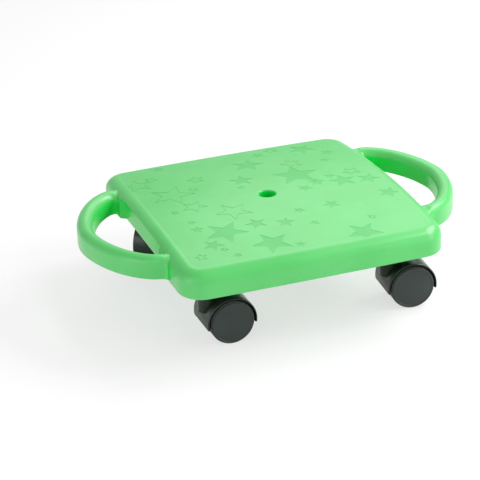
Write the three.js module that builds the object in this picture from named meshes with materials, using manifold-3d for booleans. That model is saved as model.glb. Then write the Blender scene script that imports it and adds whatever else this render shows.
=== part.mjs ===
// A child's scooter board: a square moulded deck with a loop handle on each side,
// standing on four hooded twin-wheel swivel casters. Millimetres, +Z up, +X through the
// two handles, origin on the floor under the middle of the deck.
import * as THREE from 'three';
import { mergeVertices } from 'three/addons/utils/BufferGeometryUtils.js';
import Module from 'manifold-3d';

const wasm = await Module();
wasm.setup();

// Gap between pieces that touch, the overrun of a cutting tool past what it cuts, and the
// size under which a step in the deck's mesh is dropped
const seatGap = 0.3;
const overrun = 1;
const smallestStep = 0.05;

// Wheels
const wheelRadius = 25;
const wheelTwinWidth = 51;
const wheelInnerGap = 15.4;
const treadDepth = 2.8;
const treadShoulder = 1.6;
const treadSetback = 1;
const discCrown = 1.2;
const discBevel = 1;
const discSkin = 2.4;
const rimWall = 2.4;
const hubWall = 3;
const hubBlindWall = 3.6;
const spokeThickness = 1.8;

// Axle
const axleRadius = 3;

// Hood
const hoodWall = 1.8;
const hoodClearance = 1.4;
const hoodWidth = 46.5;
const hoodFrontDrop = 10.5;
const hoodRearDrop = 9.5;
const wellExtraDrop = 20;
const webThickness = 10;
const hubBossWall = 3.7;
const trail = 19;
const neckRadius = 12;
const stemBossWall = 2.5;
const stemBossBottom = 34;

// Swivel
const kingPinRadius = 4;
const kingPinHeadRadius = 7;
const kingPinHeadHeight = 3.2;
const kingPinHeadRound = 1.4;
const kingPinTail = 2.6;
const retainerWall = 2.3;
const retainerHeight = 1.3;
const grooveDepth = 0.8;
const washerRadius = 11.5;
const washerHeight = 1.9;
const plateHeightAboveFloor = 60;

// Mounting plate and its screws
const plateSize = 42;
const plateThickness = 2.5;
const plateCorner = 5;
const plateHoleSpacing = 30;
const screwRadius = 2.4;
const screwLength = 18;
const screwHeadRadius = 4.6;
const screwHeadHeight = 2.6;
const screwHeadRound = 1.3;

// Deck
const deckWidth = 300;
const deckDepth = 305;
const deckSkirt = 28.2;
const padStandDown = 13.4;
const cornerRadius = 25;
const bowAcross = 2.9;
const bowAlong = 2.4;
const crownAcross = 0.9;
const crownAlong = 8.4;
const skirtCrownShare = 0.8;
const topRound = 13.4;
const skirtRound = 0.8;
const wall = 3.5;
const rimWidth = 14.8;
const panelDrop = 0.8;
const crownRingInsets = [45, 80];
const seatFlatHalf = 36;
const smallestCorner = 2;
const holeRadius = 9.5;
const holeRound = 1.6;
const holeTubeWall = 3;

// Ribs under the deck, and the pads that carry the casters
const ribThickness = 2.5;
const ribRecess = 3;
const casterInsetAcross = 43.2;
const casterInsetAlong = 56.9;
const padHalf = 20;
const padWall = 3.3;
const innerRibPitch = 43.5;
const screwBossWall = 2.9;
const pinHeadRoom = 1.5;

// Handles
const handleReach = 68.5;
const handleSpan = 202.5;
const handleThickness = 18.6;
const handleHeight = 24.8;
const handleRise = 3;
const handleTopRound = 8;
const handleWall = 3.2;
const handleFlare = 9;
const handleOuterFlare = 4;
const handleSquareness = 1.69;
const handleRibCount = 5;
const handleRibRecess = 1.2;
const ledgeDepth = 6.7;
const ledgeEnd = 1.5;
const lipHeight = 4.4;

// How far each caster is swung round at rest, in degrees, trailing towards +X
const swingFrontLeft = 0.7;
const swingFrontRight = -5.2;
const swingBackLeft = 50;
const swingBackRight = -20;

// Facets
const cornerSteps = 4;
const sideSteps = 3;
const roundSteps = 3;
const hiddenRoundSteps = 2;
const handleSteps = 10;
const wheelSides = 20;
const coreSides = 14;
const pinSides = 10;
const smallSides = 6;
const plateCornerSteps = 2;
const screwSides = 6;
const hoodSteps = 8;

// Worked-out sizes
const plateBottom = plateHeightAboveFloor;
const padFace = plateBottom + plateThickness + seatGap;
const skirtBottom = padFace + padStandDown;
const ribBottom = skirtBottom + ribRecess;
const deckTop = skirtBottom + deckSkirt;
const casterAcross = deckWidth / 2 - casterInsetAcross;
const casterAlong = deckDepth / 2 - casterInsetAlong;
const screwPitch = plateHoleSpacing / 2;
const handleTop = deckTop + handleRise;
const handleBottom = handleTop - handleHeight;
const wheelFace = wheelTwinWidth / 2 - discCrown;
const wheelInside = wheelInnerGap / 2;
const hoodInner = wheelRadius + hoodClearance;
const hoodOuter = hoodInner + hoodWall;
const neckTop = plateBottom - washerHeight - 2 * seatGap;
const stemBossRadius = kingPinRadius + seatGap + stemBossWall;
const hubBossRadius = axleRadius + seatGap + hubBossWall;
const hubBossHalf = wheelInside - seatGap;

function rad(degrees) {
  return THREE.MathUtils.degToRad(degrees);
}

// Closed three.js geometry into a solid: shared corners merged, slivers dropped, faces outward
function toSolid(geometry) {
  const bare = new THREE.BufferGeometry();
  bare.setAttribute('position', geometry.getAttribute('position').clone());
  if (geometry.index) bare.setIndex(geometry.index.clone());
  const merged = mergeVertices(bare, 1e-4);
  const places = merged.getAttribute('position').array;
  const corners = [];
  let volume = 0;
  const a = new THREE.Vector3();
  const b = new THREE.Vector3();
  const c = new THREE.Vector3();
  for (let i = 0; i < merged.index.count; i += 3) {
    const [p, q, r] = [0, 1, 2].map((k) => merged.index.getX(i + k));
    if (p === q || q === r || r === p) continue;
    corners.push(p, q, r);
    a.fromArray(places, 3 * p);
    b.fromArray(places, 3 * q);
    c.fromArray(places, 3 * r);
    volume += a.dot(b.cross(c));
  }
  if (volume < 0) corners.reverse();
  return new wasm.Manifold(new wasm.Mesh({
    numProp: 3,
    vertProperties: new Float32Array(places),
    triVerts: new Uint32Array(corners),
  }));
}

function toGeometry(solid) {
  const mesh = solid.getMesh();
  const geometry = new THREE.BufferGeometry();
  geometry.setAttribute('position', new THREE.BufferAttribute(new Float32Array(mesh.vertProperties), 3));
  geometry.setIndex(new THREE.BufferAttribute(new Uint32Array(mesh.triVerts), 1));
  geometry.computeVertexNormals();
  return geometry;
}

function union(solids) {
  return solids.reduce((sum, solid) => sum.add(solid));
}

// Solid of revolution about Z from [radius, height] points
function revolve(profile, sides) {
  const points = profile.map(([radius, height]) => new THREE.Vector2(radius, height));
  points.push(points[0].clone());
  return toSolid(new THREE.LatheGeometry(points, sides, Math.PI / sides).rotateX(Math.PI / 2));
}

function rod(radius, bottom, top, sides, x = 0, y = 0) {
  const turn = Math.PI / sides;
  const geometry = new THREE.CylinderGeometry(radius, radius, top - bottom, sides, 1, false, turn);
  return toSolid(geometry.rotateX(Math.PI / 2).translate(x, y, (top + bottom) / 2));
}

function block([x0, x1], [y0, y1], [z0, z1]) {
  const geometry = new THREE.BoxGeometry(x1 - x0, y1 - y0, z1 - z0);
  return toSolid(geometry.translate((x0 + x1) / 2, (y0 + y1) / 2, (z0 + z1) / 2));
}

// Skin over rings of equally many points, closed by a fan at each end, or along its length
// when the rings lie one behind the other as sections of a bar
function loft(rings) {
  const count = rings[0].length;
  const places = rings.flat().flatMap((point) => point.toArray());
  const index = [];
  for (let i = 0; i + 1 < rings.length; i++) {
    for (let k = 0; k < count; k++) {
      const p = i * count + k;
      const q = i * count + (k + 1) % count;
      index.push(p, q, q + count, p, q + count, p + count);
    }
  }
  [rings[0], rings.at(-1)].forEach((ring, end) => {
    const middle = ring.reduce((sum, point) => sum.add(point), new THREE.Vector3()).divideScalar(count);
    const centre = places.length / 3;
    places.push(...middle.toArray());
    const first = end * (rings.length - 1) * count;
    for (let k = 0; k < count; k++) {
      const edge = [first + k, first + (k + 1) % count];
      index.push(centre, ...(end ? edge : edge.reverse()));
    }
  });
  const geometry = new THREE.BufferGeometry();
  geometry.setAttribute('position', new THREE.BufferAttribute(new Float32Array(places), 3));
  geometry.setIndex(index);
  return toSolid(geometry);
}

// How far the crown lifts the deck over one point, above the height of its corners
function crownLift(x, y) {
  const across = 1 - Math.min(1, (2 * x / deckWidth) ** 2);
  const along = 1 - Math.min(1, (2 * y / deckDepth) ** 2);
  return crownAcross * across + crownAlong * along;
}

// Deck plan at one height, drawn in from the outer edge, with its bowed and crowned sides
function deckRing(inset, height, liftShare = 1) {
  const halfX = deckWidth / 2 - inset;
  const halfY = deckDepth / 2 - inset;
  const radius = Math.max(cornerRadius - inset, smallestCorner);
  const corners = [[1, 1], [-1, 1], [-1, -1], [1, -1]].map(([sx, sy], quarter) => {
    const arc = [];
    for (let k = 0; k <= cornerSteps; k++) {
      const angle = (quarter + k / cornerSteps) * Math.PI / 2;
      arc.push([
        sx * (halfX - radius) + radius * Math.cos(angle),
        sy * (halfY - radius) + radius * Math.sin(angle),
      ]);
    }
    return arc;
  });
  const plan = corners.flatMap((arc, quarter) => {
    const [x0, y0] = arc.at(-1);
    const [x1, y1] = corners[(quarter + 1) % 4][0];
    const side = [];
    for (let k = 1; k < sideSteps; k++) {
      side.push([x0 + (x1 - x0) * k / sideSteps, y0 + (y1 - y0) * k / sideSteps]);
    }
    return [...arc, ...side];
  });
  return plan.map(([x, y]) => new THREE.Vector3(
    x + bowAcross * (x / halfX) * (1 - Math.min(1, (y / halfY) ** 2)),
    y + bowAlong * (y / halfY) * (1 - Math.min(1, (x / halfX) ** 2)),
    height + liftShare * crownLift(x, y),
  ));
}

// Level ring round the flat middle of the crown
function seatRing(height, liftShare = 1) {
  const inset = deckWidth / 2 - seatFlatHalf;
  const lift = liftShare * crownLift(seatFlatHalf / 2, seatFlatHalf / 2);
  return deckRing(inset, height + lift, 0);
}

// Rings of the crowned top, drawn in from the outer surface by one offset
function topRings(offset, drop, steps) {
  const round = topRound - offset;
  const rings = [];
  for (let k = 0; k <= steps; k++) {
    const angle = k / steps * Math.PI / 2;
    rings.push(deckRing(topRound - round * Math.cos(angle), deckTop - topRound + round * Math.sin(angle)));
  }
  const panel = deckTop - offset - drop;
  const rim = drop ? [deckRing(rimWidth, deckTop - offset), deckRing(rimWidth + drop, panel)] : [];
  return [...rings, ...rim, ...crownRingInsets.map((inset) => deckRing(inset, panel)), seatRing(panel)];
}

// Point of the handle's centre line; share runs from -1 at one end to 1 at the other
const handleRoot = deckWidth / 2 + bowAcross;
const handleAcross = deckWidth / 2 + handleReach - handleThickness / 2 - handleRoot;
const handleAlong = (handleSpan - handleThickness) / 2;
function handleCentre(share) {
  const angle = share * Math.PI / 2;
  const power = 2 / handleSquareness;
  return new THREE.Vector2(
    handleRoot + handleAcross * Math.abs(Math.cos(angle)) ** power,
    handleAlong * Math.sign(angle) * Math.abs(Math.sin(angle)) ** power,
  );
}

// Centre, outward direction and distance from the deck's side of one handle section
function handleStation(share) {
  const step = 1e-3;
  const before = handleCentre(Math.max(share - step, -1));
  const after = handleCentre(Math.min(share + step, 1));
  const run = after.sub(before).normalize();
  const centre = handleCentre(share);
  return { centre, out: new THREE.Vector2(run.y, -run.x), clear: centre.x - handleRoot };
}

// Stations along the handle, closer together where it flares into the deck
const handleEndShares = [0, 0.12, 0.4, 1];
const channelEndShare = 0.2;
function endStationShare(flareShare) {
  const part = flareShare * handleFlare / handleAcross;
  return 1 - Math.asin(part ** (handleSquareness / 2)) * 2 / Math.PI;
}

function handleStations(bury) {
  const ends = handleEndShares.map(endStationShare);
  const last = ends.at(-1);
  const shares = [];
  for (let k = 1; k < handleSteps; k++) shares.push(last * (2 * k / handleSteps - 1));
  const stations = [...ends.map((share) => -share), ...shares, ...ends.toReversed()].map(handleStation);
  const buried = [stations[0], stations.at(-1)].map(({ centre, out }) => ({
    centre: new THREE.Vector2(centre.x - bury, centre.y), out, clear: -bury,
  }));
  return [buried[0], ...stations, buried[1]];
}

// Extra thickness of a fillet of one radius at a distance from the wall that it meets
function filletShare(radius, clear) {
  if (clear >= radius) return 0;
  return radius - Math.sqrt(radius ** 2 - (radius - Math.max(clear, 0)) ** 2);
}

// Section of the handle's band: flat walls under a fully rounded top
function bandSection({ centre, out, clear }) {
  const inner = -handleThickness / 2 - filletShare(handleFlare, clear);
  const outer = handleThickness / 2 + filletShare(handleOuterFlare, clear);
  const profile = [[inner, handleBottom], [outer, handleBottom]];
  for (let k = 0; k <= roundSteps; k++) {
    const angle = k / roundSteps * Math.PI / 2;
    profile.push([
      outer - handleTopRound * (1 - Math.cos(angle)),
      handleTop - handleTopRound * (1 - Math.sin(angle)),
    ]);
  }
  for (let k = roundSteps; k >= 0; k--) {
    const angle = k / roundSteps * Math.PI / 2;
    profile.push([
      inner + handleTopRound * (1 - Math.cos(angle)),
      handleTop - handleTopRound * (1 - Math.sin(angle)),
    ]);
  }
  return profile.map(([side, z]) => new THREE.Vector3(centre.x + out.x * side, centre.y + out.y * side, z));
}

// Section of the channel that hollows the band from below
function channelSection({ centre, out }) {
  const half = handleThickness / 2 - handleWall;
  const roof = handleTop - handleWall;
  const shoulder = handleTopRound - handleWall;
  const profile = [
    [-half, handleBottom - overrun], [half, handleBottom - overrun],
    [half, roof - shoulder], [half - shoulder, roof], [shoulder - half, roof], [-half, roof - shoulder],
  ];
  return profile.map(([side, z]) => new THREE.Vector3(centre.x + out.x * side, centre.y + out.y * side, z));
}

// Thin wall across the channel at one station
function channelRib({ centre, out }) {
  const long = handleThickness - handleWall;
  const geometry = new THREE.BoxGeometry(long, ribThickness, handleHeight - handleWall - handleRibRecess);
  const middle = (handleBottom + handleRibRecess + handleTop - handleWall) / 2;
  return toSolid(geometry.rotateZ(Math.atan2(out.y, out.x)).translate(centre.x, centre.y, middle));
}

function turned(solid) {
  return toSolid(toGeometry(solid).rotateZ(Math.PI));
}

// Outside of the deck: skirt, rounded top edge, flat rim and the panel set down inside it
function deckOuter() {
  const skirt = [
    deckRing(skirtRound, skirtBottom, skirtCrownShare),
    deckRing(0, skirtBottom + skirtRound, skirtCrownShare),
  ];
  return loft([...skirt, ...topRings(0, panelDrop, roundSteps)]);
}

// Space for fingers beside the deck inside each handle, as sections across X from one end to
// the other: from behind the bowed side to past it, up to a crowned height, with its depth
// running out towards both ends
const ledgeHalf = handleSpan / 2 - handleThickness - handleFlare - ledgeEnd;
const ledgeShares = [[-1, 0.2], [-0.87, 1], [0, 1], [0.87, 1], [1, 0.2]];
function ledgeSpace(extra, top) {
  const side = deckWidth / 2;
  const low = skirtBottom - overrun;
  return loft(ledgeShares.map(([alongShare, depthShare]) => {
    const y = ledgeHalf * alongShare;
    const face = side + bowAcross * (1 - (2 * y / deckDepth) ** 2) - depthShare * ledgeDepth - extra;
    const beyond = side + bowAcross + overrun;
    const roof = top + crownLift(side, y);
    return [[face, low], [beyond, low], [beyond, roof], [face, roof]]
      .map(([x, z]) => new THREE.Vector3(x, y, z));
  }));
}

function deckCavity() {
  const mouth = deckRing(wall, skirtBottom - overrun, 0);
  const cavity = loft([mouth, ...topRings(wall, 0, hiddenRoundSteps)]);
  const behind = ledgeSpace(wall, deckTop);
  return cavity.subtract(behind).subtract(turned(behind));
}

// Solid that fills the deck up to the middle of its skin, for trimming what stands under it
function underSkin() {
  return loft([deckRing(wall / 2, 0, 0), ...topRings(wall / 2, 0, hiddenRoundSteps)]);
}

// Space below the ribs, whose lower edges follow the crown
function belowRibs() {
  const rings = [deckRing(-overrun, 0, 0), deckRing(-overrun, ribBottom, skirtCrownShare)];
  crownRingInsets.forEach((inset) => rings.push(deckRing(inset, ribBottom, skirtCrownShare)));
  return loft([...rings, seatRing(ribBottom, skirtCrownShare)]);
}

// Ribs on lines through the caster pads and between them, both ways, and the tube round the hole
function deckRibs() {
  const linesX = [0, innerRibPitch, casterAcross - padHalf, casterAcross + padHalf];
  const linesY = [0, casterAlong - padHalf, casterAlong + padHalf];
  const height = [ribBottom - overrun, deckTop + crownAlong];
  const both = (lines) => lines.flatMap((line) => (line ? [-line, line] : [line]));
  const span = (line) => [line - ribThickness / 2, line + ribThickness / 2];
  const ribs = [
    ...both(linesX).map((line) => block(span(line), [-deckDepth / 2, deckDepth / 2], height)),
    ...both(linesY).map((line) => block([-deckWidth / 2, deckWidth / 2], span(line), height)),
  ];
  const tube = rod(holeRadius + holeTubeWall, ...height, coreSides);
  return union([...ribs, tube]).subtract(belowRibs());
}

// Square pad of walls and bosses that a caster's plate is screwed to
function casterPad(x, y) {
  const outer = padHalf + padWall / 2;
  const inner = padHalf - padWall / 2;
  const reach = deckTop + crownAlong;
  const walls = block([x - outer, x + outer], [y - outer, y + outer], [padFace, reach])
    .subtract(block([x - inner, x + inner], [y - inner, y + inner], [padFace - overrun, reach + overrun]));
  const bossRadius = screwRadius + seatGap + screwBossWall;
  const bosses = [];
  for (const sx of [-1, 1]) {
    for (const sy of [-1, 1]) {
      bosses.push(rod(bossRadius, padFace, reach, smallSides, x + sx * screwPitch, y + sy * screwPitch));
    }
  }
  const half = ribThickness / 2;
  const cross = union([
    block([x - inner - half, x + inner + half], [y - half, y + half], [padFace, reach]),
    block([x - half, x + half], [y - inner - half, y + inner + half], [padFace, reach]),
  ]);
  const wellTop = padFace + kingPinHeadHeight + pinHeadRoom;
  const well = rod(kingPinHeadRadius + pinHeadRoom, padFace - overrun, wellTop, smallSides, x, y);
  return union([walls, ...bosses, cross]).subtract(well);
}

function eachCorner(make) {
  return [[-1, -1], [1, -1], [-1, 1], [1, 1]].map(([sx, sy]) => make(sx * casterAcross, sy * casterAlong));
}

function screwHoles(x, y) {
  const holes = [];
  for (const sx of [-1, 1]) {
    for (const sy of [-1, 1]) {
      const end = padFace - plateThickness + screwLength + overrun;
      const at = [x + sx * screwPitch, y + sy * screwPitch];
      holes.push(rod(screwRadius + seatGap, padFace - overrun, end, smallSides, ...at));
    }
  }
  return union(holes);
}

// Centre hole, with its upper edge rounded
function holeCut() {
  const profile = [[0, ribBottom - overrun], [holeRadius, ribBottom - overrun]];
  const top = deckTop - panelDrop + crownLift(seatFlatHalf / 2, seatFlatHalf / 2);
  for (let k = 0; k <= roundSteps; k++) {
    const angle = k / roundSteps * Math.PI / 2;
    profile.push([holeRadius + holeRound * (1 - Math.cos(angle)), top - holeRound * (1 - Math.sin(angle))]);
  }
  profile.push([holeRadius + holeRound, top + overrun], [0, top + overrun]);
  return revolve(profile, coreSides);
}

function makeDeck() {
  const stations = handleStations(topRound);
  const handle = loft(stations.map(bandSection));
  const open = stations.filter(({ clear }) => clear > channelEndShare * handleFlare);
  const ends = [-1, 1].map((end) => handleStation(end * endStationShare(channelEndShare)));
  const channel = loft([ends[0], ...open, ends[1]].map(channelSection));
  const ribShares = Array.from({ length: handleRibCount }, (_, k) => 2 * (k + 1) / (handleRibCount + 1) - 1);
  const handleRibs = ribShares.map((share) => channelRib(handleStation(share)));
  const hollow = handle.subtract(channel).add(union(handleRibs));
  const ledge = ledgeSpace(0, deckTop - lipHeight);
  const shell = union([deckOuter(), hollow, turned(hollow)]).subtract(deckCavity());
  const under = union([deckRibs(), ...eachCorner(casterPad)]).intersect(underSkin());
  return union([shell, under]).subtract(ledge).subtract(turned(ledge))
    .subtract(holeCut()).subtract(union(eachCorner(screwHoles))).simplify(smallestStep);
}

// Square steel plate with screw holes and a hole for the king pin
function makePlate() {
  const half = plateSize / 2;
  const outline = new THREE.Shape();
  const reach = half - plateCorner;
  [[1, 1], [-1, 1], [-1, -1], [1, -1]].forEach(([sx, sy], quarter) => {
    for (let k = 0; k <= plateCornerSteps; k++) {
      const angle = (quarter + k / plateCornerSteps) * Math.PI / 2;
      const point = [sx * reach + plateCorner * Math.cos(angle), sy * reach + plateCorner * Math.sin(angle)];
      if (quarter || k) outline.lineTo(...point);
      else outline.moveTo(...point);
    }
  });
  for (const sx of [-1, 1]) {
    for (const sy of [-1, 1]) {
      const hole = new THREE.Path();
      hole.absarc(sx * screwPitch, sy * screwPitch, screwRadius + seatGap, 0, 2 * Math.PI, true);
      outline.holes.push(hole);
    }
  }
  const bore = new THREE.Path();
  bore.absarc(0, 0, kingPinRadius + seatGap, 0, 2 * Math.PI, true);
  outline.holes.push(bore);
  return toSolid(new THREE.ExtrudeGeometry(outline, {
    depth: plateThickness, bevelEnabled: false, curveSegments: pinSides / 2,
  }).translate(0, 0, plateBottom));
}

// Riveted pin: domed head over the plate, shank through the hood, groove for its retainer
const retainerTop = stemBossBottom - seatGap;
const retainerBottom = retainerTop - retainerHeight;
const pinTail = retainerBottom - kingPinTail;
function makeKingPin() {
  const headBottom = plateBottom + plateThickness + seatGap;
  const headTop = headBottom + kingPinHeadHeight;
  const waist = kingPinRadius - grooveDepth;
  return revolve([
    [0, pinTail], [kingPinRadius, pinTail],
    [kingPinRadius, retainerBottom - seatGap], [waist, retainerBottom - seatGap],
    [waist, retainerTop + seatGap], [kingPinRadius, retainerTop + seatGap],
    [kingPinRadius, headBottom], [kingPinHeadRadius, headBottom],
    [kingPinHeadRadius - kingPinHeadRound, headTop], [0, headTop],
  ], pinSides);
}

function ringSolid(inner, outer, bottom, top, sides) {
  return revolve([[inner, bottom], [outer, bottom], [outer, top], [inner, top]], sides);
}

// Bearing washer that the hood turns against
function makeWasher() {
  const bottom = neckTop + seatGap;
  return ringSolid(kingPinRadius + seatGap, washerRadius, bottom, bottom + washerHeight, pinSides);
}

function makeRetainer() {
  const inner = kingPinRadius - grooveDepth + seatGap;
  return ringSolid(inner, kingPinRadius + retainerWall, retainerBottom, retainerTop, pinSides);
}

// Pan-head screw driven up into the deck
function makeScrew() {
  const seat = plateBottom - seatGap;
  const bottom = seat - screwHeadHeight;
  const end = seat + screwLength;
  return revolve([
    [0, bottom], [screwHeadRadius - screwHeadRound, bottom], [screwHeadRadius, bottom + screwHeadRound],
    [screwHeadRadius, seat], [screwRadius, seat], [screwRadius, end], [0, end],
  ], screwSides);
}

// Moves a solid that stands on Z to lie along the axle
function alongAxle(solid) {
  const geometry = toGeometry(solid).rotateX(Math.PI / 2);
  return toSolid(geometry.translate(trail, 0, wheelRadius));
}

// Part of a disc about the axle, closed by a straight line that drops below it at each end
function hoodSlab(radius, extraDrop, from, to) {
  const outline = new THREE.Shape();
  const front = Math.PI + rad(hoodFrontDrop + extraDrop);
  outline.absarc(0, 0, radius, -rad(hoodRearDrop + extraDrop), front, false);
  outline.closePath();
  const geometry = new THREE.ExtrudeGeometry(outline, {
    depth: to - from, bevelEnabled: false, curveSegments: hoodSteps,
  });
  return alongAxle(toSolid(geometry.translate(0, 0, from)));
}

function makeHood() {
  const half = hoodWidth / 2;
  const webHalf = webThickness / 2;
  const body = hoodSlab(hoodOuter, 0, -half, half);
  const neck = rod(neckRadius, stemBossBottom + overrun, neckTop, pinSides);
  const wells = [
    hoodSlab(hoodInner, wellExtraDrop, webHalf, half + overrun),
    hoodSlab(hoodInner, wellExtraDrop, -half - overrun, -webHalf),
  ];
  const stemBoss = rod(stemBossRadius, stemBossBottom, neckTop - overrun, pinSides);
  const hub = alongAxle(rod(hubBossRadius, -hubBossHalf, hubBossHalf, pinSides));
  const pocket = rod(stemBossRadius + seatGap, -overrun, stemBossBottom, pinSides);
  const axleBore = alongAxle(rod(axleRadius + seatGap, -half, half, pinSides));
  const stemBore = rod(kingPinRadius + seatGap, -overrun, neckTop + overrun, pinSides);
  return union([body.add(neck).subtract(union(wells)), stemBoss, hub])
    .subtract(pocket).subtract(axleBore).subtract(stemBore);
}

function makeAxle() {
  const half = wheelFace - discSkin - hubBlindWall - seatGap;
  return alongAxle(rod(axleRadius, -half, half, pinSides));
}

// One wheel of the pair: side is 1 for the wheel at local -Y and -1 for the other
function onSide(solid, side) {
  return alongAxle(side > 0 ? solid : toSolid(toGeometry(solid).rotateX(Math.PI)));
}

function makeWheelCore(side) {
  const seat = wheelRadius - treadDepth - seatGap;
  const bore = axleRadius + seatGap;
  const hub = bore + hubWall;
  const back = wheelFace - discSkin;
  const rimInner = seat - rimWall;
  const body = revolve([
    [bore, wheelInside], [hub, wheelInside], [hub, back], [rimInner, back],
    [rimInner, wheelInside + treadSetback], [seat, wheelInside + treadSetback],
    [seat, wheelFace - discBevel], [seat - discBevel, wheelFace],
    [0, wheelFace + discCrown],
    [0, back - hubBlindWall], [bore, back - hubBlindWall],
  ], coreSides);
  return onSide(body.add(wheelSpokes(hub, rimInner, back)), side);
}

// Stiffening spokes on the hidden inner face of a wheel
function wheelSpokes(hub, rimInner, back) {
  const depth = [wheelInside + 2 * treadSetback, back + discSkin / 2];
  const half = spokeThickness / 2;
  const across = block([-rimInner - half, rimInner + half], [-half, half], depth);
  const along = block([-half, half], [-rimInner - half, rimInner + half], depth);
  const clear = rod(hub - hubWall / 2, 0, wheelFace, coreSides);
  return across.add(along).subtract(clear);
}

function makeTread(side) {
  const flat = wheelRadius / Math.cos(Math.PI / wheelSides);
  const inner = wheelRadius - treadDepth;
  const outer = wheelFace - discBevel;
  const near = wheelInside + treadSetback;
  return onSide(revolve([
    [inner, near], [flat, near], [flat, outer - treadShoulder],
    [flat - treadShoulder, outer], [inner, outer],
  ], wheelSides), side);
}

// Materials
const deckGreen = { color: 0x67d873, roughness: 0.35, metalness: 0 };
const hoodBlack = { color: 0x2a302c, roughness: 0.4, metalness: 0 };
const wheelGrey = { color: 0x4a5450, roughness: 0.45, metalness: 0 };
const treadGrey = { color: 0x2f3532, roughness: 0.7, metalness: 0 };
const zincSteel = { color: 0xb6babd, roughness: 0.35, metalness: 0.9 };
const washerWhite = { color: 0xe4e2da, roughness: 0.5, metalness: 0 };

function part(name, solid, finish) {
  const mesh = new THREE.Mesh(toGeometry(solid), new THREE.MeshStandardMaterial(finish));
  mesh.name = name;
  return mesh;
}

// Parts of one caster that stay with the deck
function fixedParts(name) {
  const fixed = new THREE.Group();
  fixed.add(
    part(`${name}_mounting_plate`, makePlate(), zincSteel),
    part(`${name}_king_pin`, makeKingPin(), zincSteel),
    part(`${name}_bearing_washer`, makeWasher(), washerWhite),
    part(`${name}_pin_retainer`, makeRetainer(), zincSteel),
  );
  const places = [[-1, -1], [1, -1], [-1, 1], [1, 1]];
  places.forEach(([sx, sy], k) => {
    const screw = part(`${name}_plate_screw_${k + 1}`, makeScrew(), zincSteel);
    screw.position.set(sx * screwPitch, sy * screwPitch, 0);
    fixed.add(screw);
  });
  return fixed;
}

// Parts of one caster that swivel
function swivelParts(name) {
  const swivel = new THREE.Group();
  swivel.add(
    part(`${name}_hood`, makeHood(), hoodBlack),
    part(`${name}_axle`, makeAxle(), zincSteel),
    part(`${name}_outer_wheel`, makeWheelCore(1), wheelGrey),
    part(`${name}_outer_tread`, makeTread(1), treadGrey),
    part(`${name}_inner_wheel`, makeWheelCore(-1), wheelGrey),
    part(`${name}_inner_tread`, makeTread(-1), treadGrey),
  );
  return swivel;
}

const group = new THREE.Group();
group.add(part('deck', makeDeck(), deckGreen));
const casters = [
  ['front_left', -1, -1, swingFrontLeft], ['front_right', 1, -1, swingFrontRight],
  ['back_left', -1, 1, swingBackLeft], ['back_right', 1, 1, swingBackRight],
];
for (const [name, sx, sy, swing] of casters) {
  const fixed = fixedParts(name);
  const swivel = swivelParts(name);
  fixed.position.set(sx * casterAcross, sy * casterAlong, 0);
  swivel.position.copy(fixed.position);
  swivel.rotation.z = rad(swing);
  group.add(fixed, swivel);
}

export default group;
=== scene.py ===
import math

import bmesh
import bpy
import numpy as np
from mathutils import Matrix, Vector


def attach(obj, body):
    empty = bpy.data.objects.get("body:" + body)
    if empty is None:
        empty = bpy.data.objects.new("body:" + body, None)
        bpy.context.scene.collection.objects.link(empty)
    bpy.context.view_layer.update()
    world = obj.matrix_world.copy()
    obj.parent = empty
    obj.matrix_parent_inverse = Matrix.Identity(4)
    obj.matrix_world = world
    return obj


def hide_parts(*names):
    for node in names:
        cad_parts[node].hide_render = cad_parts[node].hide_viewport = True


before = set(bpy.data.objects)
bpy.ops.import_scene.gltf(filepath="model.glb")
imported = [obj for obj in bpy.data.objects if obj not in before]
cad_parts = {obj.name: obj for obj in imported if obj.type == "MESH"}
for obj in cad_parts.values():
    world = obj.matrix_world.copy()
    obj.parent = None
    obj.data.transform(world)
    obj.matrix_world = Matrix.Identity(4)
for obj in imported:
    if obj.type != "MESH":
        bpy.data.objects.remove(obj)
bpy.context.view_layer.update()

# Studio: a plain white sweep with soft lamps, and the camera where the photograph was taken.
# The floor shows white to the camera and still takes the soft shadow of the board. From below
# it is clear, so that the underside can be looked at.
photo_azimuth = math.radians(-19.68)
photo_elevation = math.radians(24.92)
photo_roll = math.radians(-1.94)
photo_distance = 1.975
photo_target = Vector((-0.0341, 0, 0.0618))
photo_focal_pixels = 1753.97
photo_pixels = 480
sensor_width = 36
far_clip = 50


def add_object(name, data):
    added = bpy.data.objects.new(name, data)
    bpy.context.scene.collection.objects.link(added)
    return added


def aim_camera(azimuth, elevation, roll, distance, target):
    back = Vector((
        math.sin(azimuth) * math.cos(elevation),
        -math.cos(azimuth) * math.cos(elevation),
        math.sin(elevation),
    ))
    across = (-back).cross(Vector((0, 0, 1))).normalized()
    up = across.cross(-back)
    right = math.cos(roll) * across + math.sin(roll) * up
    top = -math.sin(roll) * across + math.cos(roll) * up
    turn = Matrix((right, top, back)).transposed().to_4x4()
    return Matrix.Translation(target + back * distance) @ turn


lens = bpy.data.cameras.new("photo_camera")
lens.sensor_width = sensor_width
lens.lens = photo_focal_pixels / photo_pixels * sensor_width
lens.clip_end = far_clip
camera = add_object("photo_camera", lens)
camera.matrix_world = aim_camera(
    photo_azimuth, photo_elevation, photo_roll, photo_distance, photo_target)
bpy.context.scene.camera = camera
bpy.context.scene.view_settings.view_transform = "Standard"


def wire(tree, source, socket):
    tree.links.new(source, socket)


def add_node(tree, kind, **settings):
    node = tree.nodes.new(kind)
    for name, value in settings.items():
        setattr(node, name, value)
    return node


def clear_tree(holder):
    holder.use_nodes = True
    holder.node_tree.nodes.clear()
    return holder.node_tree


def number_node(tree, operation, first, second, clamp=False):
    node = add_node(tree, "ShaderNodeMath", operation=operation, use_clamp=clamp)
    for k, value in enumerate((first, second)):
        if isinstance(value, bpy.types.NodeSocket):
            wire(tree, value, node.inputs[k])
        else:
            node.inputs[k].default_value = value
    return node.outputs[0]


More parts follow.
